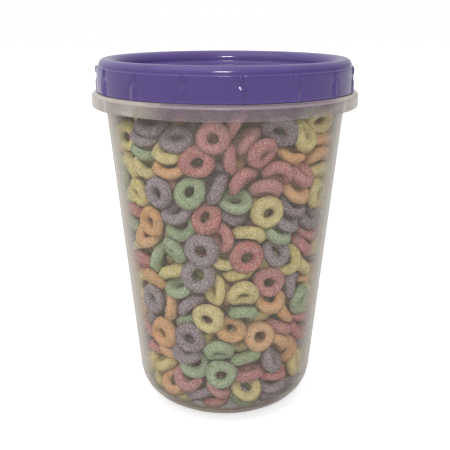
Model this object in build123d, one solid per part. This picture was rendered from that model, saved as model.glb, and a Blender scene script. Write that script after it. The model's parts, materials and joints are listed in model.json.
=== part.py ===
"""Round screw-lid food storage container: a tapered translucent tub and a one-piece lid.

Millimetres. The tub stands on z = 0 and is centred on the Z axis, with its front towards -Y.
Both pieces are turned profiles. The tub's neck carries sloping thread segments, and the lid's
skirt has lugs inside, which drop between those segments, and finger grips outside.
"""
from build123d import *
import math
import os

# Tub: wall, floor and foot
base_radius = 40.7          # outer wall carried down to the table, before its corner is rounded
corner_radius = 15.3        # large outside corner between wall and floor
wall = 0.9
floor_wall = 1.3
foot_recess = 1.8           # how far the floor is pushed up inside the foot ring
foot_ring_width = 3.2       # flat contact face of the foot ring, measured along the radius
foot_slope = 1.4            # radial run of the slope from the foot ring up to the floor

# Tub: collar, an overhanging rim with a turned-down skirt
collar_bottom_z = 141.0
collar_height = 6.5
collar_overhang = 5.2       # how far the collar stands out beyond the neck
collar_wall = 1.2
collar_shoulder = 2.0       # round between the collar's top and its skirt
collar_inner_round = 0.8

# Tub: neck and mouth
mouth_radius = 53.0         # bore of the neck
neck_wall = 1.2
neck_height = 12.3          # rim above the collar's top
rim_round = 0.5

# Thread: sloping segments on the neck and lugs in the lid
thread_starts = 6
thread_depth = 1.3
thread_root_width = 2.4
thread_crest_width = 1.0
thread_span = 36.0          # degrees round the neck that one segment covers
thread_rise = 2.6           # climb of one segment from its low end to its high end
thread_low_z = 4.4          # centre of a segment's low end above the collar's top
thread_profile_count = 7    # sections that one segment is lofted through
runout_depth = 0.25         # depth left at a segment's tapered ends
root_embed = 0.4            # how far a segment or lug is let into the wall that carries it
lug_span = 12.0             # degrees
lug_profile_count = 3
lug_centre_z = 2.8          # centre of a lug above the collar's top
lug_neck_clearance = 0.5

# Lid: skirt, ledge and crown
lid_gap = 0.5               # between the skirt's lower edge and the collar
skirt_height = 10.5
skirt_wall = 1.3
skirt_flare = 0.2           # the skirt is this much wider at its lower edge
thread_clearance = 0.7      # between the thread's crest and the skirt's bore
ledge_width = 0.9
ledge_rise = 0.75
crown_height = 2.2          # crown above the tub's rim
crown_slope = 0.7           # radial run of the crown's steep outer flank
crown_width = 6.7           # from the crown's outer edge to the wall of the recess inside it
crown_round = 1.8
crown_inner_round = 4.6     # large round that leads down into the recess
ledge_inner_round = 0.4
ledge_outer_round = 0.4
seat_clearance = 0.3        # between the tub's rim and the channel that covers it
plug_clearance = 0.3        # between the lid's plug and the mouth
plug_wall = 1.1
plug_depth = 3.0            # below the ceiling of the channel

# Lid: recessed panel that takes the foot of a tub stacked on it
panel_wall = 1.2
panel_depth = 8.7           # below the crown
panel_round = 0.9
recess_draft = 0.4
step_depth = 6.4            # the recess wall's step below the crown
step_width = 1.8
step_round = 1.2            # hollow round between the recess wall and its step
step_edge_round = 0.5
disc_radius = 36.0          # raised middle of the panel
disc_rise = 0.6

# Lid: finger grips round the skirt
grip_count = 16
grip_turn = 6.1             # degrees from the front to the first grip, towards +X
rib_width = 1.0
rib_proud = 0.85
rib_round = 0.25
pad_width = 6.4
pad_height = 6.6
pad_proud = 0.5
pad_draft = 20.0            # degrees of slope on a pad's sides

# Heights and radii that follow from the sizes above
collar_top_z = collar_bottom_z + collar_height
rim_z = collar_top_z + neck_height
neck_radius = mouth_radius + neck_wall
collar_radius = neck_radius + collar_overhang
thread_radius = neck_radius + thread_depth
skirt_bottom_z = collar_top_z + lid_gap
skirt_top_z = skirt_bottom_z + skirt_height
skirt_bore = thread_radius + thread_clearance
skirt_radius = skirt_bore + skirt_wall
crown_z = rim_z + crown_height
panel_z = crown_z - panel_depth
front = -90.0               # direction of the front, in degrees from +X
least_arc = 2.1             # rounds smaller than this are flat bevels

os.makedirs("parts", exist_ok=True)


def cut_points(before, corner, after, size):
    """The two points where a round of that size would leave the sides of a corner."""
    at = Vector(*corner)
    back, ahead = Vector(*before) - at, Vector(*after) - at
    reach = size / math.tan(math.radians(back.get_angle(ahead)) / 2)
    return [at + side.normalized() * reach for side in (back, ahead)]


def turned(corners):
    """Solid of revolution about Z from a closed outline of corners (radius, height, round).

    A round smaller than least_arc is cut as a flat bevel of the same reach.
    """
    points, rounds = [], []
    for i, (radius, height, size) in enumerate(corners):
        if 0 < size < least_arc:
            neighbours = corners[i - 1][:2], corners[(i + 1) % len(corners)][:2]
            points += cut_points(neighbours[0], (radius, height), neighbours[1], size)
            rounds += [0, 0]
        else:
            points.append(Vector(radius, height))
            rounds.append(size)
    with BuildPart() as piece:
        with BuildSketch(Plane.XZ):
            with BuildLine():
                FilletPolyline(*points, radius=rounds, close=True)
            make_face()
        revolve(axis=Axis.Z)
    return piece.part


def meridian(angle):
    """Plane that holds the Z axis at an angle: its x runs outward and its y runs up."""
    across, along = math.cos(math.radians(angle)), math.sin(math.radians(angle))
    return Plane(origin=(0, 0, 0), x_dir=(across, along, 0), z_dir=(along, -across, 0))


def helical_bar(root, tip, centre_z, start, span, rise, sections, runout):
    """Bar of trapezoid section that climbs along the wall of radius root, towards radius tip.

    The buried side of the section lies root_embed beyond the wall, and the end sections are
    shallow, so the bar runs out into the wall as a moulded thread does.
    """
    outward = 1 if tip > root else -1
    buried = root - outward * root_embed
    profiles = []
    for i in range(sections):
        share = i / (sections - 1)
        at_end = i in (0, sections - 1)
        reach = root + outward * runout if at_end else tip
        z = centre_z + (share - 0.5) * rise
        corners = [
            (buried, z - thread_root_width / 2),
            (reach, z - thread_crest_width / 2),
            (reach, z + thread_crest_width / 2),
            (buried, z + thread_root_width / 2),
        ]
        profiles.append(meridian(start + share * span) * make_face(Polyline(*corners, close=True)))
    return loft(profiles, ruled=True)


def ring_pattern(piece, count, first):
    """Copies of a piece at equal turns about Z, the first at an angle."""
    return [Rot(0, 0, first + i * 360.0 / count) * piece for i in range(count)]


def make_tub():
    """Tapered cup with a pushed-up floor, a turned-down collar, a neck and thread segments."""
    web_under_z = collar_top_z - collar_wall
    wall_top_radius = mouth_radius + wall
    draft = (wall_top_radius - base_radius) / web_under_z
    turn = math.radians(90.0) - math.atan(draft)
    flat_end = base_radius - corner_radius * math.tan(turn / 2)
    foot_inner = flat_end - foot_ring_width
    foot_top = foot_inner - foot_slope
    floor_top = foot_recess + floor_wall
    floor_shift = floor_wall * math.tan(math.atan2(foot_recess, foot_slope) / 2)
    inner_wall_foot = base_radius - wall + draft * floor_wall
    cup = turned([
        (0, foot_recess, 0),
        (foot_top, foot_recess, 0),
        (foot_inner, 0, 0),
        (base_radius, 0, corner_radius),
        (wall_top_radius, web_under_z, collar_inner_round),
        (collar_radius - collar_wall, web_under_z, collar_inner_round),
        (collar_radius - collar_wall, collar_bottom_z, 0),
        (collar_radius, collar_bottom_z, 0),
        (collar_radius, collar_top_z, collar_shoulder),
        (neck_radius, collar_top_z, 0),
        (neck_radius, rim_z, rim_round),
        (mouth_radius, rim_z, rim_round),
        (mouth_radius, web_under_z, 0),
        (inner_wall_foot, floor_wall, corner_radius - floor_wall),
        (foot_inner + floor_shift, floor_wall, 0),
        (foot_top + floor_shift, floor_top, 0),
        (0, floor_top, 0),
    ])
    thread = helical_bar(
        neck_radius,
        thread_radius,
        collar_top_z + thread_low_z + thread_rise / 2,
        front + grip_turn,
        thread_span,
        thread_rise,
        thread_profile_count,
        runout_depth,
    )
    return cup.fuse(*ring_pattern(thread, thread_starts, 0))


def make_lid_shell():
    """Cap profile: recessed panel, pocket, plug, channel over the rim, crown, ledge and skirt."""
    ceiling_z = rim_z + seat_clearance
    channel_radius = neck_radius + seat_clearance
    plug_radius = mouth_radius - plug_clearance
    plug_inner = plug_radius - plug_wall
    ledge_outer = skirt_radius - skirt_flare
    ledge_inner = ledge_outer - ledge_width
    ledge_top_z = skirt_top_z + ledge_rise
    crown_outer = ledge_inner - crown_slope
    recess_radius = crown_outer - crown_width
    recess_back = recess_radius + panel_wall
    step_z = crown_z - step_depth
    step_under_z = step_z - panel_wall
    lower_radius = recess_radius - step_width
    lower_back = lower_radius + panel_wall
    panel_under_z = panel_z - panel_wall
    skirt_top_bore = skirt_bore - skirt_flare
    chamfer_z = skirt_top_z - ledge_rise / 2
    return turned([
        (0, panel_under_z, 0),
        (lower_back - recess_draft, panel_under_z, panel_round + panel_wall / 2),
        (lower_back, step_under_z, 0),
        (recess_back, step_under_z, panel_wall / 2),
        (recess_back, ceiling_z - (plug_inner - recess_back), 0),
        (plug_inner, ceiling_z, 0),
        (plug_inner, ceiling_z - plug_depth, 0),
        (plug_radius, ceiling_z - plug_depth, plug_wall / 2),
        (plug_radius, ceiling_z, 0),
        (channel_radius, ceiling_z, 0),
        (channel_radius, chamfer_z + skirt_top_bore - channel_radius, 0),
        (skirt_top_bore, chamfer_z, 0),
        (skirt_bore, skirt_bottom_z, 0),
        (skirt_radius, skirt_bottom_z, 0),
        (ledge_outer, skirt_top_z, ledge_outer_round),
        (ledge_inner, ledge_top_z, ledge_inner_round),
        (crown_outer, crown_z, crown_round),
        (recess_radius, crown_z, crown_inner_round),
        (recess_radius, step_z, step_round),
        (lower_radius, step_z, step_edge_round),
        (lower_radius - recess_draft, panel_z, panel_round),
        (disc_radius + disc_rise, panel_z, 0),
        (disc_radius, panel_z + disc_rise, 0),
        (0, panel_z + disc_rise, 0),
    ])


def make_grip():
    """One grip at +X: a thin rib over the skirt's height and an arched pad low down on it."""
    rib_radius = skirt_radius - skirt_flare + rib_proud
    inner = skirt_bore + skirt_wall / 2
    rib_height = skirt_height - lid_gap
    rib_box = Pos((inner + rib_radius) / 2, 0, skirt_bottom_z + rib_height / 2) * Box(
        rib_radius - inner, rib_width, rib_height
    )
    outer_edges = rib_box.edges().filter_by(Axis.Z).group_by(Axis.X)[-1]
    rib = fillet(outer_edges, rib_round)
    half = pad_width / 2
    with BuildPart() as pad:
        with BuildSketch(Plane.YZ.offset(inner)):
            with BuildLine():
                Line((-half, skirt_bottom_z), (half, skirt_bottom_z))
                Line((half, skirt_bottom_z), (half, skirt_bottom_z + pad_height - half))
                ThreePointArc(
                    (half, skirt_bottom_z + pad_height - half),
                    (0, skirt_bottom_z + pad_height),
                    (-half, skirt_bottom_z + pad_height - half),
                )
                Line((-half, skirt_bottom_z + pad_height - half), (-half, skirt_bottom_z))
            make_face()
        extrude(amount=skirt_radius + pad_proud - inner, taper=pad_draft)
    pad_limit = Cylinder(
        skirt_radius + pad_proud,
        skirt_height,
        align=(Align.CENTER, Align.CENTER, Align.MIN),
    )
    return [rib, (Pos(0, 0, skirt_bottom_z) * pad_limit) & pad.part]


def make_lid():
    """Lid shell with its lugs inside the skirt and its grips outside."""
    lug = helical_bar(
        skirt_bore,
        neck_radius + lug_neck_clearance,
        collar_top_z + lug_centre_z,
        front + grip_turn,
        lug_span,
        thread_rise * lug_span / thread_span,
        lug_profile_count,
        runout_depth,
    )
    gap_middle = thread_span + (360.0 / thread_starts - thread_span - lug_span) / 2
    lugs = ring_pattern(lug, thread_starts, gap_middle)
    grips = [g for piece in make_grip() for g in ring_pattern(piece, grip_count, front + grip_turn)]
    return make_lid_shell().fuse(*lugs, *grips)


def save(name, piece):
    """Write one piece under its node's name and print what it came to."""
    piece.label = name
    export_step(piece, os.path.join("parts", name + ".step"))
    print(name, "solids", len(piece.solids()), "volume", round(piece.volume), piece.is_valid)


save("tub", make_tub())
save("lid", make_lid())
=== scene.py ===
"""Looks of a round screw-lid food tub that is filled with cereal rings.

Metres, in the frame of the packed model: Z up from the table, the front towards -Y. The turned
pieces repeat the packed model's profile with its real rounds, and a tree of nodes turns one wedge
of each into the whole ring. The rings inside fall into the tub and settle there.
"""

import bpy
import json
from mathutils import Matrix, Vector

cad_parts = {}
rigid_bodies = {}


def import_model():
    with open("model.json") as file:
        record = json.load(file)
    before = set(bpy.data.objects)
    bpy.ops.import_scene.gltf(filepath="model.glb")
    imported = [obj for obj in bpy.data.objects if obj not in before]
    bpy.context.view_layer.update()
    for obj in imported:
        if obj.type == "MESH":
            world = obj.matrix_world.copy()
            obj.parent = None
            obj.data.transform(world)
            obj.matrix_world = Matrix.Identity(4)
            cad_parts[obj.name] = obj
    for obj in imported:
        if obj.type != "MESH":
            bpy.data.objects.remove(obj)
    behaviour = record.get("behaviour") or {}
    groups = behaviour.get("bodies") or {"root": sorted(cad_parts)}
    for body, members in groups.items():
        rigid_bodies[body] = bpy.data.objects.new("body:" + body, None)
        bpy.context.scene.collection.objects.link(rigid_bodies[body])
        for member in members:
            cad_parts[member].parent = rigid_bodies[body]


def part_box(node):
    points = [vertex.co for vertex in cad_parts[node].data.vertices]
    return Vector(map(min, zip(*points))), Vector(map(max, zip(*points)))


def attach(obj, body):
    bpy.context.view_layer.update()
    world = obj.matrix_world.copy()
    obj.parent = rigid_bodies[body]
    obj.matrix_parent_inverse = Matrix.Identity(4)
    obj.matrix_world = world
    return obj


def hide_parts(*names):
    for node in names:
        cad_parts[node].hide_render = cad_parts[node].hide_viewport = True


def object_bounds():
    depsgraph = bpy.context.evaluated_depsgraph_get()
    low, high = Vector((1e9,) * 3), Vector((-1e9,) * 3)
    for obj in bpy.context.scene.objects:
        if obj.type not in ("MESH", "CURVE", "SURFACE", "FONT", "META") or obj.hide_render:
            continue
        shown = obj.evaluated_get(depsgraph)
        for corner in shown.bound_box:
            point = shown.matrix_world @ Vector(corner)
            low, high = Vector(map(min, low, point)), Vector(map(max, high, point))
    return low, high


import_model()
cad_box = [list(corner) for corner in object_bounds()]

import json
import math
import random

import bmesh
import bpy
from bpy.props import (
    FloatProperty,
    FloatVectorProperty,
    IntProperty,
    PointerProperty,
)
from mathutils import Euler, Matrix, Vector, noise

bl_info = {
    "name": "Food storage tub",
    "version": (1, 0, 0),
    "blender": (4, 5, 0),
    "location": "View3D > Sidebar > Tub",
    "description": "Makes a translucent screw-lid tub, its lid and its filling",
    "category": "Add Mesh",
}

FULL_TURN = math.tau
FRONT = -math.pi / 2
TUB_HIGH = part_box("tub")[1]
LID_LOW, LID_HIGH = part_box("lid")


def number(name, description, default, **kind):
    """A number that the panel shows, with its unit or subtype where one fits."""
    return FloatProperty(name=name, description=description, default=default, **kind)


def length(name, description, metres):
    """A size in metres."""
    return number(name, description, metres, unit="LENGTH", precision=5)


def angle_of(name, description, degrees):
    """An angle, written here in degrees."""
    return number(name, description, math.radians(degrees), subtype="ANGLE")


def share(name, description, default):
    """A value from 0 to 1."""
    return number(name, description, default, min=0.0, max=1.0, subtype="FACTOR")


def whole(name, description, default):
    """A whole number that the panel shows."""
    return IntProperty(name=name, description=description, default=default)


def colour(name, description, rgb):
    """A linear colour that the panel shows."""
    return FloatVectorProperty(
        name=name, description=description, default=rgb, min=0.0, max=1.0, subtype="COLOR"
    )


class TubLook(bpy.types.PropertyGroup):
    """Profile and plastic of the tub, with light and shade painted on its collar."""

    base_radius: length("Base radius", "Outer wall carried down to the table", 0.0407)
    corner_radius: length("Foot corner", "Large outside round between wall and floor", 0.0153)
    wall: length("Wall", "Thickness of the side wall", 0.0009)
    floor_wall: length("Floor", "Thickness of the floor", 0.0013)
    foot_recess: length("Foot recess", "How far the floor is pushed up", 0.0018)
    foot_ring: length("Foot ring", "Width of the flat that stands on the table", 0.0032)
    foot_slope: length("Foot slope", "Radial run from the foot ring up to the floor", 0.0014)
    collar_bottom: length("Collar bottom", "Height of the collar's lower edge", 0.1415)
    collar_height: length("Collar height", "Height of the collar's skirt", 0.0061)
    collar_radius: length("Collar radius", "Outer radius of the collar", TUB_HIGH.x)
    collar_wall: length("Collar wall", "Thickness of the collar", 0.0012)
    collar_shoulder: length("Collar shoulder", "Round on the collar's upper edge", 0.0018)
    mouth_radius: length("Mouth radius", "Bore of the neck", 0.053)
    neck_wall: length("Neck wall", "Thickness of the neck", 0.0012)
    rim_height: length("Rim height", "Height of the tub's rim", TUB_HIGH.z)
    wedges: whole("Wedges", "Copies that make the turn", 192)
    thread_starts: whole("Threads", "Segments on the neck", 6)
    thread_depth: length("Thread depth", "How far a thread stands out", 0.0013)
    thread_low: length("Thread start", "Low end above the collar's top", 0.0044)
    thread_rise: length("Thread rise", "Climb of one segment", 0.0026)
    thread_span: angle_of("Thread span", "Turn covered by one segment", 36)
    haze_colour: colour("Haze colour", "Colour of the milky plastic", (0.43, 0.385, 0.325))
    # Painted reflection: the lid's purple bounce light, painted into the collar's colour
    painted_lid_light_colour: colour("Collar colour", "Collar with the lid's light", (0.37, 0.285, 0.33))
    # Painted shade: darker purple where the lid's shadow falls on the collar right below it
    painted_lid_shade_colour: colour("Near the lid", "Collar right below the lid", (0.22, 0.165, 0.24))
    foot_colour: colour("Foot colour", "Colour of the thick foot corner", (0.29, 0.225, 0.15))
    foot_smear: colour("Foot smear", "Colour of patches in the foot corner", (0.265, 0.185, 0.155))
    haze_front: share("Haze head on", "Cover of one surface seen head on", 0.11)
    haze_edge: share("Haze edge on", "Cover of one surface seen edge on", 0.95)
    # Partly the collar's thicker milky plastic, partly painted light: the up-facing shoulder made
    # lighter as if lit from above
    shoulder_haze_and_painted_light: share("Haze of the shoulder", "Added cover on the collar's shoulder", 0.38)
    haze_collar: share("Haze of the collar", "Added cover on the whole collar", 0.08)
    # Painted light: extra milky cover at the collar's left and right ends stands in for light
    # scattered through from behind
    backlit_side_haze: share("Haze of the collar's sides", "Added cover at its left and right", 0.3)
    haze_foot: share("Haze of the foot", "Added cover where the foot's corner is thick", 0.42)
    gloss: share("Roughness", "Roughness of the surface", 0.22)


class LidLook(bpy.types.PropertyGroup):
    """Profile, grips and plastic of the lid."""

    skirt_bottom: length("Skirt bottom", "Height of the lid's lower edge", LID_LOW.z - 0.0002)
    skirt_height: length("Skirt height", "Height of the skirt", 0.011)
    skirt_radius: length("Skirt radius", "Outer radius at the lower edge", 0.057)
    skirt_wall: length("Skirt wall", "Thickness of the skirt", 0.001)
    skirt_flare: length("Skirt flare", "How much wider the skirt is at its foot", 0.0001)
    ledge_width: length("Ledge width", "Radial run of the ledge", 0.00095)
    ledge_dip: length("Ledge dip", "How far the ledge drops towards the crown", 0.0003)
    flank_foot: length("Flank foot", "Upright part at the foot of the crown's flank", 0.0007)
    crown_height: length("Crown", "Height of the crown's top", LID_HIGH.z - 0.0002)
    crown_slope: length("Crown slope", "Radial run of the crown's outer flank", 0.0012)
    crown_width: length("Crown width", "From the crown's outer edge to the recess", 0.0058)
    crown_round: length("Crown round", "Round on the crown's outer edge", 0.0028)
    crown_inner_round: length("Inner round", "Large round down into the recess", 0.004)
    plug_wall: length("Plug wall", "Thickness of the wall inside the mouth", 0.0011)
    plug_depth: length("Plug depth", "Depth of the plug below its channel", 0.003)
    panel_wall: length("Panel wall", "Thickness of the sunk panel", 0.0012)
    panel_depth: length("Panel depth", "Depth of the panel below the crown", 0.0087)
    step_depth: length("Step depth", "Depth of the step below the crown", 0.0064)
    step_width: length("Step width", "Width of the step", 0.0024)
    step_round: length("Step round", "Hollow round above the step", 0.0019)
    disc_radius: length("Disc radius", "Raised middle of the panel", 0.036)
    disc_rise: length("Disc rise", "Height of the raised middle", 0.0006)
    grips: whole("Grips", "Finger grips round the skirt", 16)
    grip_turn: angle_of("Grip turn", "Turn from the front to the first grip", 6.1)
    rib_width: length("Rib width", "Width of a grip's rib", 0.001)
    rib_proud: length("Rib depth", "How far a rib stands out", 0.0005)
    groove_depth: length("Groove depth", "Depth of the grooves beside a rib", 0.00025)
    pad_width: length("Pad width", "Width of a grip's pad", 0.0064)
    pad_height: length("Pad height", "Height of a grip's pad", 0.0077)
    pad_proud: length("Pad depth", "How far a pad stands out", 0.0006)
    pad_sink: length("Pad sink", "How far a pad's feet lie below the skirt", 0.0005)
    lug_span: angle_of("Lug span", "Turn covered by one lug", 12)
    plastic_colour: colour("Colour", "Colour of the lid's plastic", (0.078, 0.043, 0.211))
    gloss: share("Roughness", "Roughness of the surface", 0.12)


class FillLook(bpy.types.PropertyGroup):
    """Size, number and colours of the cereal rings."""

    count: whole("Rings", "Least number of rings poured into the tub", 770)
    seed: whole("Seed", "Start of the random places, sizes and shades", 7)
    colour_seed: whole("Colour seed", "Start of the random colours", 59355)
    forms: whole("Forms", "Different ring shapes", 6)
    facing: share("Facing", "Share of the rings next to the wall that face it", 0.35)
    outer: length("Ring radius", "Outer radius of a ring", 0.0076)
    hole: length("Hole radius", "Radius of a ring's hole", 0.0022)
    half_height: length("Half height", "Half the height of a ring lying flat", 0.0027)
    lump: length("Lumps", "How uneven a ring's surface is", 0.0005)
    top: length("Fill height", "Height of the heap at the axis", 0.1465)
    limit: length("Fill limit", "No ring reaches higher than this", 0.1505)
    heap_slope: number("Heap slope", "How much the heap climbs to the right", 0.11)
    heap_fall: number("Heap fall", "How much more the left part falls to the back", 0.24)
    frames: whole("Frames", "Steps that the rings settle for", 72)
    yellow: colour("Yellow", "Colour of the yellow rings", (0.86, 0.71, 0.24))
    green: colour("Green", "Colour of the green rings", (0.37, 0.50, 0.24))
    red: colour("Red", "Colour of the red rings", (0.63, 0.20, 0.18))
    orange: colour("Orange", "Colour of the orange rings", (0.88, 0.46, 0.17))
    purple: colour("Purple", "Colour of the purple rings", (0.29, 0.20, 0.24))


class StageLook(bpy.types.PropertyGroup):
    """Camera, lamps and floor."""

    camera_distance: length("Camera distance", "From the tub's axis, along the table", 0.3206)
    camera_height: length("Camera height", "Above the table", 0.1813)
    camera_pitch: angle_of("Camera pitch", "Angle below the horizontal", 17)
    camera_lens: number("Lens", "Focal length in millimetres", 56.0)
    sky: share("Sky", "Level of the light from all round", 0.6)
    sky_overhead: share("Sky overhead", "How much brighter the room is overhead", 0.7)
    sky_left: share("Sky left", "How much brighter the room is on the left", 0.2)
    sky_front: share("Sky front", "How much brighter the room is in front", 0.04)
    key_power: number("Key lamp", "Large soft lamp", 5.0, unit="POWER")
    glint_power: number("Glint lamp", "Small lamp whose glints show", 2.6, unit="POWER")


LOOKS = {"tub": TubLook, "lid": LidLook, "fill": FillLook, "stage": StageLook}


# Outlines and wedges

ARC_STEP = math.radians(15)
TUB_ROW, LID_ROW, SKIRT_ROW = 0.012, 0.014, 0.0006
GUARD = 0.0004
MERGE = 1e-6


def polar(radius, angle, height):
    """Point at a radius and an angle round the axis."""
    return Vector((radius * math.cos(angle), radius * math.sin(angle), height))


def linked(name, data):
    """New object in the scene that holds the data."""
    ob = bpy.data.objects.new(name, data)
    bpy.context.scene.collection.objects.link(ob)
    return ob


def mesh_data(name, mesh):
    """Data made from a bmesh, which is freed."""
    data = bpy.data.meshes.new(name)
    mesh.to_mesh(data)
    mesh.free()
    return data


def skin(mesh, rows, closed=False):
    """Smooth faces between neighbouring rows of vertices, all the way round when closed."""
    width = len(rows[0])
    for low, high in zip(rows, rows[1:]):
        for k in range(width if closed else width - 1):
            after = (k + 1) % width
            face = list(dict.fromkeys([low[k], low[after], high[after], high[k]]))
            if len(face) > 2:
                mesh.faces.new(face).smooth = True


def rounded(corners):
    """Closed outline of points (radius, height) from corners (radius, height, round)."""
    points = []
    for i, (radius, height, size) in enumerate(corners):
        at = Vector((radius, height))
        if not size:
            points.append(at)
            continue
        back = (Vector(corners[i - 1][:2]) - at).normalized()
        ahead = (Vector(corners[(i + 1) % len(corners)][:2]) - at).normalized()
        half = back.angle(ahead) / 2
        centre = at + (back + ahead).normalized() * size / math.sin(half)
        start = at + back * size / math.tan(half) - centre
        turn = math.copysign(math.pi - 2 * half, ahead.cross(back))
        steps = max(2, math.ceil(abs(turn) / ARC_STEP))
        for k in range(steps + 1):
            points.append(centre + Matrix.Rotation(turn * k / steps, 2) @ start)
    return points


def divided(points, spacing):
    """The outline with its long runs split, and a guard point near each end of a run."""
    finer = []
    for here, there in zip(points, points[1:]):
        finer.append(here)
        run = there - here
        step = spacing((here + there) / 2)
        if run.length > 3 * GUARD:
            count = max(1, round((run.length - 2 * GUARD) / step))
            inner = run.length - 2 * GUARD
            for k in range(count + 1):
                finer.append(here + run * ((GUARD + inner * k / count) / run.length))
    return finer + [points[-1]]


def wedge(name, outline, angles, relief=None):
    """Surface swept by an outline through the angles, which starts and ends on the axis.

    relief(radius, height, angle) is how far a point stands out beyond the outline.
    """
    mesh = bmesh.new()
    rows = []
    for radius, height in outline:
        if radius < MERGE:
            pole = mesh.verts.new((0, 0, height))
            rows.append([pole] * len(angles))
            continue
        row = []
        for angle in angles:
            reach = radius + (relief(radius, height, angle) if relief else 0)
            row.append(mesh.verts.new(polar(reach, angle, height)))
        rows.append(row)
    skin(mesh, rows)
    return mesh_data(name, mesh)


# Nodes


def new_tree(name, inputs):
    """Geometry node tree with named inputs (name, socket type) and one geometry output."""
    tree = bpy.data.node_groups.new(name, "GeometryNodeTree")
    tree.is_modifier = True
    for label, kind in inputs:
        tree.interface.new_socket(label, in_out="INPUT", socket_type=kind)
    tree.interface.new_socket("Geometry", in_out="OUTPUT", socket_type="NodeSocketGeometry")
    return tree


def find(sockets, key):
    """The socket with that number, or else with that identifier or name."""
    if isinstance(key, int):
        return sockets[key]
    return next((s for s in sockets if s.identifier == key), None) or sockets[key]


def add_node(tree, kind, settings=None, inputs=None, out=0):
    """Add a node, set its settings, then its sockets, and return one of its outputs.

    Each input takes a value or another node's socket.
    """
    node = tree.nodes.new(kind)
    for key, value in (settings or {}).items():
        setattr(node, key, value)
    for key, value in (inputs or {}).items():
        socket = find(node.inputs, key)
        if isinstance(value, bpy.types.NodeSocket):
            tree.links.new(value, socket)
        else:
            socket.default_value = value
    return find(node.outputs, out) if node.outputs else None


def end_tree(tree, geometry, material):
    """Set the material and lead the geometry out of the tree."""
    coated = add_node(
        tree, "GeometryNodeSetMaterial", {}, {"Geometry": geometry, "Material": material}
    )
    add_node(tree, "NodeGroupOutput", {}, {"Geometry": coated})


def ring_of_copies_tree():
    """Tree that turns one wedge or bar into equal copies round Z, joined where they meet."""
    tree = new_tree("ring_of_copies", [
        ("Geometry", "NodeSocketGeometry"),
        ("Copies", "NodeSocketInt"),
        ("First angle", "NodeSocketFloat"),
        ("Join distance", "NodeSocketFloat"),
        ("Material", "NodeSocketMaterial"),
    ])
    given = tree.nodes.new("NodeGroupInput").outputs
    points = add_node(tree, "GeometryNodePoints", {}, {"Count": given["Copies"]})
    index = add_node(tree, "GeometryNodeInputIndex")
    step = add_node(
        tree, "ShaderNodeMath", {"operation": "DIVIDE"}, {0: FULL_TURN, 1: given["Copies"]}
    )
    angle = add_node(
        tree, "ShaderNodeMath", {"operation": "MULTIPLY_ADD"},
        {0: index, 1: step, 2: given["First angle"]},
    )
    euler = add_node(tree, "ShaderNodeCombineXYZ", {}, {"Z": angle})
    copies = add_node(tree, "GeometryNodeInstanceOnPoints", {}, {
        "Points": points,
        "Instance": given["Geometry"],
        "Rotation": add_node(tree, "FunctionNodeEulerToRotation", {}, {"Euler": euler}),
    })
    real = add_node(tree, "GeometryNodeRealizeInstances", {}, {"Geometry": copies})
    joined = add_node(
        tree, "GeometryNodeMergeByDistance", {},
        {"Geometry": real, "Distance": given["Join distance"]},
    )
    end_tree(tree, joined, given["Material"])
    return tree


def scatter_tree():
    """Tree that sets one of several forms on each point, turned and sized by the point."""
    tree = new_tree("rings_on_points", [
        ("Geometry", "NodeSocketGeometry"),
        ("Forms", "NodeSocketCollection"),
        ("Material", "NodeSocketMaterial"),
    ])
    given = tree.nodes.new("NodeGroupInput").outputs
    forms = add_node(
        tree, "GeometryNodeCollectionInfo", {},
        {"Collection": given["Forms"], "Separate Children": True, "Reset Children": True},
    )
    turn, size, form = (
        add_node(tree, "GeometryNodeInputNamedAttribute", {"data_type": kind}, {"Name": name},
                 "Attribute")
        for name, kind in (("turn", "FLOAT_VECTOR"), ("size", "FLOAT"), ("form", "INT"))
    )
    rings = add_node(tree, "GeometryNodeInstanceOnPoints", {}, {
        "Points": given["Geometry"],
        "Instance": forms,
        "Pick Instance": True,
        "Instance Index": form,
        "Rotation": add_node(tree, "FunctionNodeEulerToRotation", {}, {"Euler": turn}),
        "Scale": size,
    })
    real = add_node(tree, "GeometryNodeRealizeInstances", {}, {"Geometry": rings})
    end_tree(tree, real, given["Material"])
    return tree


def grown(name, data, tree, **values):
    """Plain mesh object that a tree makes from mesh data, given the tree's inputs by name."""
    source = linked(name + "_source", data)
    modifier = source.modifiers.new("grow", "NODES")
    modifier.node_group = tree
    for item in tree.interface.items_tree:
        key = item.name.replace(" ", "_")
        if item.in_out == "INPUT" and key in values:
            modifier[item.identifier] = values[key]
    source.update_tag()
    evaluated = source.evaluated_get(bpy.context.evaluated_depsgraph_get())
    mesh = bpy.data.meshes.new_from_object(evaluated)
    mesh.name = name
    source.modifiers.remove(modifier)
    bpy.data.objects.remove(source)
    return linked(name, mesh)


def face_outwards(piece):
    """Point every face of a closed piece away from its plastic."""
    mesh = bmesh.new()
    mesh.from_mesh(piece.data)
    bmesh.ops.recalc_face_normals(mesh, faces=mesh.faces)
    if mesh.calc_volume(signed=True) < 0:
        bmesh.ops.reverse_faces(mesh, faces=mesh.faces)
    mesh.to_mesh(piece.data)
    mesh.free()


# Finishes


class Value:
    """A socket that plain arithmetic works on."""

    def __init__(self, finish, socket):
        self.finish, self.socket = finish, socket

    def __add__(self, other):
        return self.finish.math("ADD", self, other)

    __radd__ = __add__

    def __sub__(self, other):
        return self.finish.math("SUBTRACT", self, other)

    def __rsub__(self, other):
        return self.finish.math("SUBTRACT", other, self)

    def __mul__(self, other):
        return self.finish.math("MULTIPLY", self, other)

    __rmul__ = __mul__


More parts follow.
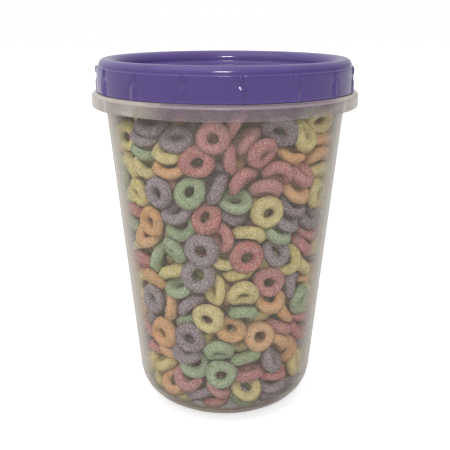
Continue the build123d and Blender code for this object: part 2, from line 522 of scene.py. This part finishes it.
class Finish:
    """Builds the nodes of one material, or of the world when that is given."""

    def __init__(self, name, world=None):
        self.material = world or bpy.data.materials.new(name)
        self.material.use_nodes = True
        self.tree = self.material.node_tree
        self.tree.nodes.clear()

    def node(self, kind, settings=None, inputs=None, out=0):
        """Add a node whose inputs take plain values or Values, and return one of its outputs."""
        plain = {
            key: value.socket if isinstance(value, Value) else value
            for key, value in (inputs or {}).items()
        }
        return Value(self, add_node(self.tree, kind, settings, plain, out))

    def math(self, operation, first, second, **settings):
        """Result of one Math node."""
        settings["operation"] = operation
        return self.node("ShaderNodeMath", settings, {0: first, 1: second})

    def place(self):
        """Object coordinates, in metres."""
        return self.node("ShaderNodeTexCoord", out="Object")

    def part(self, vector, axis):
        """X, Y or Z of a vector."""
        return self.node("ShaderNodeSeparateXYZ", {}, {"Vector": vector}, axis)

    def noise(self, scale, detail=2.0, roughness=0.5):
        """Noise from 0 to 1 whose lumps are about one over scale metres wide."""
        sockets = {"Vector": self.place(), "Scale": scale, "Detail": detail, "Roughness": roughness}
        return self.node("ShaderNodeTexNoise", {}, sockets, "Fac")

    def rise(self, value, low, high):
        """0 below low, 1 above high and smooth between them."""
        settings = {"interpolation_type": "SMOOTHSTEP"}
        sockets = {"Value": value, "From Min": low, "From Max": high}
        return self.node("ShaderNodeMapRange", settings, sockets, "Result")

    def blend(self, mask, first, second):
        """Colour that goes from first to second with the mask."""
        sockets = {"Factor_Float": mask, "A_Color": first, "B_Color": second}
        return self.node("ShaderNodeMix", {"data_type": "RGBA"}, sockets, "Result_Color")

    def bump(self, height, strength, distance):
        """Normal tilted by a height from 0 to 1 that stands for that distance."""
        sockets = {"Height": height, "Strength": strength, "Distance": distance}
        return self.node("ShaderNodeBump", {}, sockets, "Normal")

    def plastic(self, **sockets):
        """End the material with one Principled shader, and return the material."""
        named = {key.replace("_", " "): value for key, value in sockets.items()}
        surface = self.node("ShaderNodeBsdfPrincipled", {}, named)
        add_node(self.tree, "ShaderNodeOutputMaterial", {}, {"Surface": surface.socket})
        return self.material


def opaque(rgb, scale=1.0, white=0.0):
    """A colour, scaled and with some white added, with the full alpha that a socket takes."""
    return (*[scale * c + white for c in rgb], 1.0)


def tub_plastic(look):
    """Milky see-through plastic: thin head on, thick edge on, faint clouds in the haze, painted
    light and shade on the collar.
    """
    finish = Finish("tub_plastic")
    edge_on = finish.node("ShaderNodeLayerWeight", {}, {"Blend": 0.5}, "Facing")
    across, height = finish.part(finish.place(), "X"), finish.part(finish.place(), "Z")
    upward = finish.part(finish.node("ShaderNodeNewGeometry", {}, {}, "Normal"), "Z")
    lower_edge = look.collar_bottom
    collar_top = look.collar_bottom + look.collar_height
    soft, neck_start, neck_end, lid_shade = 0.0002, 0.0004, 0.0012, 0.0008
    left_end, right_end = (-0.02, -0.034), (0.04, 0.05)
    foot_high, foot_low = 0.8 * look.corner_radius, 0.35 * look.corner_radius
    cloudiness, own_colour = 0.06, 0.8

    collar = finish.rise(height, lower_edge - soft, lower_edge + soft)
    collar = collar * finish.rise(height, collar_top + neck_end, collar_top + neck_start)
    # The collar's up-facing top; its added cover is partly painted light from above
    shoulder = collar * finish.rise(upward, 0.1, 0.5)
    # Painted light: the collar's left and right ends, made brighter as if lit through from behind
    sides = finish.rise(across, *left_end) + finish.rise(across, *right_end)
    foot = finish.rise(height, foot_high, foot_low)
    clouds = finish.noise(55.0, 3.0)
    depth = finish.rise(edge_on, 0.5, 0.88)

    haze = look.haze_front + depth * (look.haze_edge - look.haze_front)
    haze = haze + (clouds - 0.5) * cloudiness + shoulder * look.shoulder_haze_and_painted_light
    haze = haze + foot * look.haze_foot + collar * look.haze_collar
    haze = haze + collar * sides * look.backlit_side_haze

    tint = finish.blend(clouds, opaque(look.haze_colour), opaque(look.haze_colour, 1.12))
    # Painted light and shade on the collar: the lid's purple bounce light, darker still right below
    # the lid where its shade falls
    painted_lid_shade_mask = finish.rise(height, collar_top - lid_shade, collar_top)
    painted_lid_light = finish.blend(painted_lid_shade_mask, opaque(look.painted_lid_light_colour), opaque(look.painted_lid_shade_colour))
    painted_lid_light_share = collar * (1.0 - depth * own_colour) * (1.0 - sides * own_colour)
    tint = finish.blend(painted_lid_light_share, tint, painted_lid_light)
    patches = finish.rise(finish.noise(34.0, 1.0), 0.42, 0.58)
    smeared = finish.blend(patches, opaque(look.foot_colour), opaque(look.foot_smear))
    tint = finish.blend(foot, tint, smeared)

    uneven_gloss = finish.noise(240.0) * 0.08 - shoulder * 0.12
    return finish.plastic(
        Base_Color=tint,
        Roughness=look.gloss + uneven_gloss,
        Alpha=haze,
        IOR=1.49,
        Normal=finish.bump(finish.noise(90.0, 1.0), 0.08, 0.0006),
    )


def lid_plastic(look):
    """Moulded purple plastic: soft gloss, faint flow marks, fine grain, and a lower edge made paler
    by painted bounce light from the collar.
    """
    finish = Finish("lid_plastic")
    flow = finish.noise(35.0, 3.0)
    grain = finish.noise(1900.0, 2.0)
    plain, dark = opaque(look.plastic_colour), opaque(look.plastic_colour, 0.86)
    # Painted light: the skirt's lower edge made paler by bounce light from the collar
    pale, painted_bounce_height = opaque(look.plastic_colour, 1.3, 0.02), 0.0016
    tint = finish.blend(finish.rise(flow, 0.3, 0.7), dark, plain)
    height = finish.part(finish.place(), "Z")
    painted_bounce_edge = finish.rise(height, look.skirt_bottom + painted_bounce_height, look.skirt_bottom) * 0.5
    tint = finish.blend(painted_bounce_edge, tint, pale)
    return finish.plastic(
        Base_Color=tint,
        Roughness=look.gloss + flow * 0.06,
        IOR=1.5,
        Normal=finish.bump(grain, 0.06, 0.0001),
    )


def cereal_finish(name, rgb, sugar):
    """Baked cereal: a mottled body colour under whitish sugar grains, all of it rough."""
    finish = Finish(name)
    mottle = finish.noise(330.0, 3.0, 0.6)
    grains = finish.noise(1700.0, 2.0, 0.8)
    shade = finish.node("ShaderNodeAttribute", {"attribute_name": "shade"}, {}, "Fac")
    deep, pit = opaque(rgb, 0.72), opaque(rgb, 0.34)
    pale, sugared = opaque(rgb, 0.6, 0.34), opaque(rgb, 0.42, 0.58)
    body = finish.blend(finish.rise(mottle, 0.34, 0.62), deep, opaque(rgb))
    body = finish.blend(shade * 0.3, body, pale)
    body = finish.blend(finish.rise(grains, 0.47, 0.36) * 0.6, body, pit)
    crystals = finish.rise(grains, 0.49, 0.60) * sugar
    body = finish.blend(crystals, body, sugared)
    return finish.plastic(
        Base_Color=body,
        Roughness=0.92 - crystals * 0.35,
        IOR=1.4,
        Normal=finish.bump(grains * 0.6 + mottle, 0.8, 0.0008),
    )


# Pieces


def tub_outline(look):
    """Closed outline of the tub, from the axis under the floor round to the axis above it."""
    collar_top = look.collar_bottom + look.collar_height
    web_under = collar_top - look.collar_wall
    wall_top = look.mouth_radius + look.wall
    neck = look.mouth_radius + look.neck_wall
    collar_bore = look.collar_radius - look.collar_wall
    draft = (wall_top - look.base_radius) / web_under
    corner_turn = math.pi / 2 - math.atan(draft)
    flat_end = look.base_radius - look.corner_radius * math.tan(corner_turn / 2)
    foot_inner = flat_end - look.foot_ring
    foot_top = foot_inner - look.foot_slope
    slope = math.atan2(look.foot_recess, look.foot_slope)
    floor_shift = look.floor_wall * math.tan(slope / 2)
    floor_top = look.foot_recess + look.floor_wall
    inner_foot = look.base_radius - look.wall + draft * look.floor_wall
    foot_round, web_round, edge_round, rim_round = 0.0006, 0.0008, 0.0003, 0.0005
    neck_round = 0.0006
    return rounded([
        (0, look.foot_recess, 0),
        (foot_top, look.foot_recess, foot_round),
        (foot_inner, 0, foot_round),
        (look.base_radius, 0, look.corner_radius),
        (wall_top, web_under, web_round),
        (collar_bore, web_under, web_round),
        (collar_bore, look.collar_bottom, edge_round),
        (look.collar_radius, look.collar_bottom, edge_round),
        (look.collar_radius, collar_top, look.collar_shoulder),
        (neck, collar_top, neck_round),
        (neck, look.rim_height, rim_round),
        (look.mouth_radius, look.rim_height, rim_round),
        (look.mouth_radius, web_under, 0),
        (inner_foot, look.floor_wall, look.corner_radius - look.floor_wall),
        (foot_inner + floor_shift, look.floor_wall, foot_round),
        (foot_top + floor_shift, floor_top, foot_round),
        (0, floor_top, 0),
    ])


def lid_outline(look, mouth, neck_wall, rim):
    """Closed outline of the lid, from the axis under the panel round to the axis above it."""
    seat, draft, chamfer_height = 0.0003, 0.0004, 0.0007
    ceiling = rim + seat
    channel = mouth + neck_wall + seat
    plug = mouth - seat
    plug_inner = plug - look.plug_wall
    skirt_top = look.skirt_bottom + look.skirt_height
    ledge_outer = look.skirt_radius - look.skirt_flare
    ledge_inner = ledge_outer - look.ledge_width
    crown_outer = ledge_inner - look.crown_slope
    recess = crown_outer - look.crown_width
    recess_back = recess + look.panel_wall
    step = look.crown_height - look.step_depth
    step_under = step - look.panel_wall
    lower = recess - look.step_width
    lower_back = lower + look.panel_wall
    panel = look.crown_height - look.panel_depth
    panel_under = panel - look.panel_wall
    bore = look.skirt_radius - look.skirt_wall
    top_bore = bore - look.skirt_flare
    chamfer = skirt_top - chamfer_height
    fine, panel_back, panel_front, back_step, back_top = 0.0003, 0.0015, 0.0009, 0.0006, 0.0005
    plug_tip, plug_lead, lip_inner, lip_outer = 0.0002, 0.0006, 0.00025, 0.00015
    ledge_edge, ledge_foot, flank, step_edge = 0.0007, 0.0002, 0.0025, 0.0004
    return rounded([
        (0, panel_under, 0),
        (lower_back - draft, panel_under, panel_back),
        (lower_back, step_under, fine),
        (recess_back, step_under, back_step),
        (recess_back, ceiling - (plug_inner - recess_back), back_top),
        (plug_inner, ceiling, fine),
        (plug_inner, ceiling - look.plug_depth, plug_tip),
        (plug, ceiling - look.plug_depth, plug_lead),
        (plug, ceiling, fine),
        (channel, ceiling, fine),
        (channel, chamfer + top_bore - channel, fine),
        (top_bore, chamfer, fine),
        (bore, look.skirt_bottom, lip_inner),
        (look.skirt_radius, look.skirt_bottom, lip_outer),
        (ledge_outer, skirt_top, ledge_edge),
        (ledge_inner, skirt_top - look.ledge_dip, ledge_foot),
        (ledge_inner, skirt_top + look.flank_foot, flank),
        (crown_outer, look.crown_height, look.crown_round),
        (recess, look.crown_height, look.crown_inner_round),
        (recess, step, look.step_round),
        (lower, step, step_edge),
        (lower - draft, panel, panel_front),
        (look.disc_radius + look.disc_rise, panel, fine),
        (look.disc_radius, panel + look.disc_rise, fine),
        (0, panel + look.disc_rise, 0),
    ])


def eased(value, low, high):
    """0 below low, 1 above high and smooth between them."""
    x = min(max((value - low) / (high - low), 0.0), 1.0)
    return x * x * (3 - 2 * x)


def grip_relief(look):
    """How far a grip stands out of the skirt: a rib between grooves, and a pad like a low roof.

    The pad's feet are sunk, so that it is steep and yet stands out little.
    """
    half = look.pad_width / 2
    arch_centre = look.pad_height - half
    skirt_middle = look.skirt_radius - look.skirt_wall / 2
    edge = 0.0004

    def relief(radius, height, angle):
        above = height - look.skirt_bottom
        if radius < skirt_middle or above > look.skirt_height:
            return 0.0
        across = abs(radius * angle)
        rib = look.rib_proud * eased(look.rib_width / 2 + edge / 2 - across, 0, edge)
        off_groove = abs(across - look.rib_width)
        rib -= look.groove_depth * eased(look.rib_width / 2 - off_groove, 0, edge)
        rib *= eased(look.skirt_height - above, 0, edge)
        inside = half - math.hypot(across, max(above - arch_centre, 0))
        on_pad = eased(inside, 0, 1.2 * edge)
        roof = (look.pad_proud + look.pad_sink) * max(inside, 0) / half - look.pad_sink
        return rib * (1 - on_pad) + roof * on_pad

    return relief


def grip_angles(look):
    """Angles of one wedge of the lid, close together where the grip is."""
    end = math.pi / look.grips
    rib_step, pad_step, plain_step = 0.00025, 0.0005, 0.0019
    rib_end, pad_end = 0.0015, look.pad_width / 2 + 0.0005
    stations = [(0.0, rib_step), (rib_end, pad_step), (pad_end, plain_step)]
    across = [0.0]
    limit = end * look.skirt_radius
    while across[-1] < limit:
        step = next(s for start, s in reversed(stations) if across[-1] >= start)
        across.append(across[-1] + step)
    side = [a / look.skirt_radius for a in across[:-1]]
    if end - side[-1] < 0.4 * (side[-1] - side[-2]):
        side.pop()
    side.append(end)
    return [-a for a in reversed(side[1:])] + side


def helical_bar(name, root, tip, centre, span, rise):
    """Thread segment or lug: a rounded trapezoid that climbs along a wall and runs out in it.

    Half its section is a list of (share of the depth, height), whose last point is buried.
    """
    steps, buried, blunt, run_out = 28, 0.0003, 0.03, 0.09
    outward = 1 if tip > root else -1
    upper = [(1.0, 0.0003), (0.75, 0.00055), (0.0, 0.0011), (-buried, 0.0012)]
    section = [(out, -up) for out, up in reversed(upper)] + upper
    mesh = bmesh.new()
    rows = []
    for i in range(steps + 1):
        along = i / steps
        angle = along * span
        depth = abs(tip - root) * eased(min(along, 1 - along), -blunt, run_out)
        row = []
        for out, up in section:
            reach = root + outward * (out * depth if out > 0 else out)
            height = centre + (along - 0.5) * rise + up
            row.append(mesh.verts.new(polar(reach, angle, height)))
        rows.append(row)
    skin(mesh, rows, closed=True)
    mesh.faces.new(rows[0])
    mesh.faces.new(rows[-1])
    return mesh_data(name, mesh)


def finish_piece(piece, body, stands_for=None):
    """Put a finished piece on its body, and hide the packed model's node that it stands for."""
    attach(piece, body)
    if stands_for:
        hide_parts(stands_for)


def ring_piece(name, data, body, material, copies, first_angle, join=0.0, stands_for=None):
    """Closed piece of equal copies of a mesh round the axis, with its material, put on its body."""
    piece = grown(
        name, data, ring_of_copies_tree(),
        Copies=copies, First_angle=first_angle, Join_distance=join, Material=material,
    )
    face_outwards(piece)
    finish_piece(piece, body, stands_for)


class FOODTUB_OT_shell(bpy.types.Operator):
    """Make the tub's turned shell"""

    bl_idname = "food_tub.make_shell"
    bl_label = "Tub shell"

    def execute(self, context):
        look = context.scene.food_tub_tub
        half = math.pi / look.wedges
        outline = divided(tub_outline(look), lambda middle: TUB_ROW)
        data = wedge("tub_wedge", outline, [-half, half])
        ring_piece(
            "tub_shell", data, "tub", tub_plastic(look), look.wedges, FRONT, MERGE, "tub"
        )
        return {"FINISHED"}


class FOODTUB_OT_thread(bpy.types.Operator):
    """Make the thread segments on the tub's neck"""

    bl_idname = "food_tub.make_thread"
    bl_label = "Neck thread"

    def execute(self, context):
        look = context.scene.food_tub_tub
        neck = look.mouth_radius + look.neck_wall
        collar_top = look.collar_bottom + look.collar_height
        bar = helical_bar(
            "thread_bar", neck, neck + look.thread_depth,
            collar_top + look.thread_low + look.thread_rise / 2,
            look.thread_span, look.thread_rise,
        )
        first = FRONT + context.scene.food_tub_lid.grip_turn
        # The packed model's plain plastic, not the milky finish of the shell
        plastic = bpy.data.materials["tub_plastic"]
        ring_piece("tub_thread", bar, "tub", plastic, look.thread_starts, first)
        return {"FINISHED"}


class FOODTUB_OT_lid(bpy.types.Operator):
    """Make the lid's shell with the grips on its skirt"""

    bl_idname = "food_tub.make_lid"
    bl_label = "Lid shell"

    def execute(self, context):
        look = context.scene.food_tub_lid
        tub = context.scene.food_tub_tub
        skirt_middle = look.skirt_radius - look.skirt_wall / 2
        skirt_top = look.skirt_bottom + look.skirt_height

        def spacing(middle):
            on_skirt = middle.x > skirt_middle and middle.y < skirt_top
            return SKIRT_ROW if on_skirt else LID_ROW

        outline = lid_outline(look, tub.mouth_radius, tub.neck_wall, tub.rim_height)
        outline = divided(outline, spacing)
        data = wedge("lid_wedge", outline, grip_angles(look), grip_relief(look))
        first = FRONT + look.grip_turn
        ring_piece("lid_shell", data, "lid", lid_plastic(look), look.grips, first, MERGE, "lid")
        return {"FINISHED"}


class FOODTUB_OT_lugs(bpy.types.Operator):
    """Make the thread lugs inside the lid's skirt"""

    bl_idname = "food_tub.make_lugs"
    bl_label = "Lid lugs"

    def execute(self, context):
        look = context.scene.food_tub_lid
        tub = context.scene.food_tub_tub
        neck = tub.mouth_radius + tub.neck_wall
        collar_top = tub.collar_bottom + tub.collar_height
        pitch = FULL_TURN / tub.thread_starts
        gap_start = tub.thread_span + (pitch - tub.thread_span - look.lug_span) / 2
        clearance, middle = 0.0005, 0.0028
        bar = helical_bar(
            "lug_bar", look.skirt_radius - look.skirt_wall, neck + clearance,
            collar_top + middle, look.lug_span,
            tub.thread_rise * look.lug_span / tub.thread_span,
        )
        first = FRONT + look.grip_turn + gap_start
        # The packed model's plain plastic, not the finish of the lid's shell
        plastic = bpy.data.materials["lid_plastic"]
        ring_piece("lid_lugs", bar, "lid", plastic, tub.thread_starts, first)
        return {"FINISHED"}


# Filling

# Colour of a ring, share of the rings that have it, and how much sugar shows on them
RING_KINDS = [
    ("yellow", 0.29, 0.5),
    ("green", 0.13, 0.55),
    ("red", 0.19, 0.5),
    ("orange", 0.21, 0.45),
    ("purple", 0.18, 0.6),
]
RING_BENDS = (0.0, 0.0008, 0.0013, 0.0004, 0.001, 0.0002)
RING_DISHES = (0.05, 0.0, 0.1, 0.2, -0.1, 0.12)

SPACING = 2.1

# The rings settle in a mould that is a hundred times larger, which keeps the solver steady
MOULD_SCALE = 100.0
MOULD_GRAVITY = -40
FUNNEL_TOP = 0.9


def ring_form(look, index):
    """One uneven cereal ring, bent like a saddle or dished, centred on its hole."""
    around, across = 14, 5
    middle, half = (look.outer + look.hole) / 2, (look.outer - look.hole) / 2
    bend = RING_BENDS[index % len(RING_BENDS)]
    dish = RING_DISHES[index % len(RING_DISHES)]
    lumps_per_metre, seed = 260, Vector((index * 7.3, 2.1, 5.5))
    mesh = bmesh.new()
    rows = []
    for i in range(around):
        turn = FULL_TURN * i / around
        row = []
        for j in range(across):
            angle = FULL_TURN * j / across
            radius = middle + half * math.cos(angle)
            x, y = radius * math.cos(turn), radius * math.sin(turn)
            z = look.half_height * math.sin(angle)
            z += bend * (x * x - y * y) / look.outer ** 2 + dish * (radius - middle)
            out = Vector((math.cos(turn) * math.cos(angle), math.sin(turn) * math.cos(angle),
                          math.sin(angle)))
            lump = noise.noise(Vector((x, y, z)) * lumps_per_metre + seed) * look.lump
            row.append(mesh.verts.new(Vector((x, y, z)) + out * lump))
        rows.append(row)
    for i in range(around):
        for j in range(across):
            here, after = rows[i], rows[(i + 1) % around]
            corners = [here[j], after[j], after[(j + 1) % across], here[(j + 1) % across]]
            mesh.faces.new(corners).smooth = True
    return mesh_data("ring_form_%d" % index, mesh)


def inside_radius(tub, height):
    """Radius of the tub's inner wall at a height, round corner included."""
    web_under = tub.collar_bottom + tub.collar_height - tub.collar_wall
    draft = (tub.mouth_radius + tub.wall - tub.base_radius) / web_under
    wall = tub.base_radius - tub.wall + draft * height
    corner = tub.corner_radius - tub.floor_wall
    below = tub.corner_radius - height
    if below <= 0:
        return wall
    return wall - corner + math.sqrt(max(corner ** 2 - below ** 2, 0.0))


def layered(tub, look, rng, layer_height, top):
    """Layers of rings above the floor, each (location, turn); some next to the wall face it."""
    gap, thickness = SPACING * look.outer, 1.9 * look.half_height
    lower_side, tilt, turned_inset, closer = 0.004, 0.25, 0.0035, 0.003
    places = []
    height = 0.0125
    while len(places) < look.count and height < top:
        radius = inside_radius(tub, min(height - lower_side, tub.collar_bottom)) - thickness
        by_wall = True
        while radius > -0.5 * gap:
            number = max(1, int(FULL_TURN * radius / gap))
            start = rng.uniform(0, FULL_TURN)
            for k in range(number):
                angle = start + FULL_TURN * k / number
                if by_wall and rng.random() < look.facing:
                    turn = Euler((rng.gauss(0, tilt), FRONT + rng.gauss(0, tilt), angle))
                    reach = radius
                else:
                    turn = Euler([rng.uniform(0, FULL_TURN) for _ in range(3)])
                    reach = max(radius - turned_inset, 0) if by_wall else max(radius, 0)
                places.append((polar(reach, angle, height), turn))
            radius -= gap - closer if by_wall else gap
            by_wall = False
        height += layer_height
    return places


def mould_mesh(tub):
    """The tub's inside and a tall funnel wall above it, for the rings to fall into."""
    rows, row_height, lift, clearance, sides = 12, 0.0013, 0.0001, 0.0003, 72
    heights = [tub.floor_wall + lift + row_height * k for k in range(rows)]
    heights += [tub.corner_radius, tub.collar_bottom, FUNNEL_TOP]
    floor_top = tub.foot_recess + tub.floor_wall
    outline = [(MERGE / 2, floor_top)]
    for height in heights:
        radius = inside_radius(tub, min(height, tub.collar_bottom)) - clearance
        outline.append((radius, max(height, floor_top)))
    data = wedge("mould", outline, [FULL_TURN * k / sides for k in range(sides + 1)])
    data.transform(Matrix.Scale(MOULD_SCALE, 4))
    return data


def add_to_world(objects, kind, shape, **settings):
    """Give objects a rigid body of that kind and shape."""
    bpy.ops.object.select_all(action="DESELECT")
    for ob in objects:
        ob.select_set(True)
    bpy.context.view_layer.objects.active = objects[0]
    bpy.ops.rigidbody.objects_add(type=kind)
    for ob in objects:
        ob.rigid_body.collision_shape = shape
        ob.rigid_body.use_margin = True
        for key, value in settings.items():
            setattr(ob.rigid_body, key, value)


def settled(tub, look, forms, rng):
    """Drop the rings into the tub and return where each comes to rest, and its form."""
    scene = bpy.context.scene
    big = []
    for form in forms:
        copy = form.copy()
        copy.transform(Matrix.Scale(MOULD_SCALE, 4))
        big.append(copy)
    rings = []
    for location, turn in layered(tub, look, rng, SPACING * look.outer, FUNNEL_TOP):
        form = rng.randrange(look.forms)
        ring = linked("falling_ring", big[form])
        ring.location, ring.rotation_euler = location * MOULD_SCALE, turn
        rings.append((ring, form))
    mould = linked("mould", mould_mesh(tub))
    bpy.ops.rigidbody.world_add()
    scene.rigidbody_world.substeps_per_frame = 8
    scene.rigidbody_world.solver_iterations = 12
    scene.rigidbody_world.point_cache.frame_end = look.frames
    old_end, old_gravity = scene.frame_end, scene.gravity.copy()
    scene.frame_end = look.frames
    scene.gravity = (0, 0, MOULD_GRAVITY)
    add_to_world(
        [ring for ring, _ in rings], "ACTIVE", "CONVEX_HULL",
        friction=0.45, restitution=0.02, collision_margin=0.005,
        linear_damping=0.1, angular_damping=0.3, mass=0.2,
    )
    add_to_world([mould], "PASSIVE", "MESH", friction=0.2, collision_margin=0.01)
    for step in range(1, look.frames + 1):
        scene.frame_set(step)
    graph = bpy.context.evaluated_depsgraph_get()
    places = []
    for ring, form in rings:
        world = ring.evaluated_get(graph).matrix_world
        places.append((world.translation / MOULD_SCALE, world.to_euler(), form))
    bpy.ops.rigidbody.world_remove()
    for ring, _ in rings:
        bpy.data.objects.remove(ring)
    bpy.data.objects.remove(mould)
    for copy in big:
        bpy.data.meshes.remove(copy)
    scene.frame_set(1)
    scene.frame_end, scene.gravity = old_end, old_gravity
    return places


def top_of(place, turn, form):
    """Highest point of a ring of that form at a place."""
    turned = turn.to_matrix()
    return place.z + max((turned @ vertex.co).z for vertex in form.vertices)


def heap_height(tub, look, place):
    """Height of the heap's surface: it climbs to the right and falls at the left and back."""
    offset, least = 0.1, -0.2
    behind = max(offset + place.y / tub.mouth_radius, least)
    heap = min(look.top + look.heap_slope * place.x, look.limit)
    return heap + look.heap_fall * min(place.x, 0) * behind


def points_mesh(name, rings):
    """Points that carry each ring's turn, size, form and shade."""
    data = bpy.data.meshes.new(name)
    data.from_pydata([ring["place"] for ring in rings], [], [])
    fields = (("turn", "FLOAT_VECTOR", "vector"), ("size", "FLOAT", "value"),
              ("form", "INT", "value"), ("shade", "FLOAT", "value"))
    for key, kind, field in fields:
        attribute = data.attributes.new(key, kind, "POINT")
        for item, ring in zip(attribute.data, rings):
            setattr(item, field, ring[key])
    return data


class FOODTUB_OT_fill(bpy.types.Operator):
    """Pour the cereal rings into the tub, one piece for each colour"""

    bl_idname = "food_tub.fill"
    bl_label = "Cereal rings"

    def execute(self, context):
        tub, look = context.scene.food_tub_tub, context.scene.food_tub_fill
        rng, colours = random.Random(look.seed), random.Random(look.colour_seed)
        forms = [ring_form(look, index) for index in range(look.forms)]
        places = settled(tub, look, forms, rng)
        shares = [kind[1] for kind in RING_KINDS]
        rings = {kind[0]: [] for kind in RING_KINDS}
        for place, turn, form in places:
            kind = colours.choices(RING_KINDS, shares)[0][0]
            size, shade = rng.uniform(0.94, 1.03), rng.random()
            if top_of(place, turn, forms[form]) < heap_height(tub, look, place):
                rings[kind].append(
                    {"place": place, "turn": turn, "size": size, "form": form, "shade": shade}
                )
        shelf = bpy.data.collections.new("ring_forms")
        for form in forms:
            shelf.objects.link(bpy.data.objects.new(form.name, form))
        tree = scatter_tree()
        for kind, _, sugar in RING_KINDS:
            name = "cereal_" + kind
            piece = grown(
                name, points_mesh(name + "_points", rings[kind]), tree,
                Forms=shelf, Material=cereal_finish(name, getattr(look, kind), sugar),
            )
            finish_piece(piece, "tub")
        for ob in list(shelf.objects):
            bpy.data.objects.remove(ob)
        bpy.data.collections.remove(shelf)
        return {"FINISHED"}


# Stage


def background_share(finish):
    """1 for rays that show the background, from the camera or through glass, 0.5 by a mirror."""
    kinds = ("Is Camera Ray", "Is Glossy Ray", "Is Transmission Ray")
    camera, mirror, glass = (finish.node("ShaderNodeLightPath", {}, {}, kind) for kind in kinds)
    return finish.math("ADD", camera + mirror * 0.5, glass, use_clamp=True)


def floor_finish():
    """White floor that keeps the tub's shadow."""
    finish = Finish("floor_white")
    white = (1, 1, 1)
    tint = finish.blend(finish.noise(40.0), opaque(white, 0.49), opaque(white, 0.51))
    glow = finish.blend(background_share(finish), opaque(white, 0), opaque(white))
    return finish.plastic(
        Base_Color=tint, Roughness=0.8, Emission_Color=glow, Emission_Strength=0.65
    )


def add_lamp(name, location, target, size, power):
    """Rectangular soft lamp of (width, height), aimed at a point."""
    data = bpy.data.lights.new(name, "AREA")
    data.shape, data.size, data.size_y = "RECTANGLE", size[0], size[1]
    data.energy = power
    lamp = linked(name, data)
    lamp.location = location
    way = Vector(target) - lamp.location
    lamp.rotation_euler = way.to_track_quat("-Z", "Y").to_euler()


def studio_world(look):
    """White for the camera; for all other rays a soft room, brighter overhead and on the left."""
    world = bpy.data.worlds.new("studio")
    darkest = 0.05
    room = Finish(world.name, world)
    way = room.node("ShaderNodeTexCoord", out="Generated")
    across, along, up = (room.part(way, axis) for axis in "XYZ")
    level = look.sky + up * look.sky_overhead - across * look.sky_left - along * look.sky_front
    level = room.math("MAXIMUM", level, darkest)
    seen = room.node("ShaderNodeLightPath", {}, {}, "Is Camera Ray")
    level = level + seen * (1.0 - level)
    light = room.node("ShaderNodeBackground", {}, {"Color": (1, 1, 1, 1), "Strength": level})
    add_node(room.tree, "ShaderNodeOutputWorld", {}, {"Surface": light.socket})
    return world


class FOODTUB_OT_stage(bpy.types.Operator):
    """Set up the white floor, the soft lamps and the camera"""

    bl_idname = "food_tub.stage"
    bl_label = "Floor, lamps and camera"

    def execute(self, context):
        scene = context.scene
        look = scene.food_tub_stage
        reach = 4.0
        corners = [(-reach, -reach, 0), (reach, -reach, 0), (reach, reach, 0), (-reach, reach, 0)]
        data = bpy.data.meshes.new("floor")
        data.from_pydata(corners, [], [(0, 1, 2, 3)])
        data.materials.append(floor_finish())
        floor = linked("floor", data)

        scene.world = studio_world(look)
        middle = (0, 0, 0.5 * cad_box[1][2])
        add_lamp("key", (-0.6, -0.5, 1.8), middle, (1.6, 1.6), look.key_power)
        add_lamp("glint", (-0.035, -0.87, 0.66), middle, (0.19, 0.05), look.glint_power)

        data = bpy.data.cameras.new("camera")
        data.lens, data.sensor_width = look.camera_lens, 36.0
        data.clip_start = 0.01
        camera = linked("camera", data)
        camera.location = (0, -look.camera_distance, look.camera_height)
        camera.rotation_euler = (math.pi / 2 - look.camera_pitch, 0, 0)
        scene.camera = camera
        scene.view_settings.view_transform = "Standard"
        return {"FINISHED"}


class FOODTUB_PT_panel(bpy.types.Panel):
    """Lists the steps that make the tub"""

    bl_idname = "FOODTUB_PT_panel"
    bl_label = "Food tub"
    bl_space_type = "VIEW_3D"
    bl_region_type = "UI"
    bl_category = "Tub"

    def draw(self, context):
        for step in STEPS:
            self.layout.operator(step.bl_idname)
        for key, look in LOOKS.items():
            box = self.layout.box()
            box.label(text=look.__doc__)
            for name in look.__annotations__:
                box.prop(getattr(context.scene, "food_tub_" + key), name)


STEPS = [
    FOODTUB_OT_stage,
    FOODTUB_OT_shell,
    FOODTUB_OT_thread,
    FOODTUB_OT_lid,
    FOODTUB_OT_lugs,
    FOODTUB_OT_fill,
]


def register():
    for item in [*LOOKS.values(), *STEPS, FOODTUB_PT_panel]:
        bpy.utils.register_class(item)
    for key, look in LOOKS.items():
        setattr(bpy.types.Scene, "food_tub_" + key, PointerProperty(type=look))


def unregister():
    for key in LOOKS:
        delattr(bpy.types.Scene, "food_tub_" + key)
    for item in reversed([*LOOKS.values(), *STEPS, FOODTUB_PT_panel]):
        bpy.utils.unregister_class(item)


def main():
    """Make every piece in order."""
    register()
    for step in STEPS:
        group, name = step.bl_idname.split(".")
        getattr(getattr(bpy.ops, group), name)()


if __name__ == "__main__":
    main()
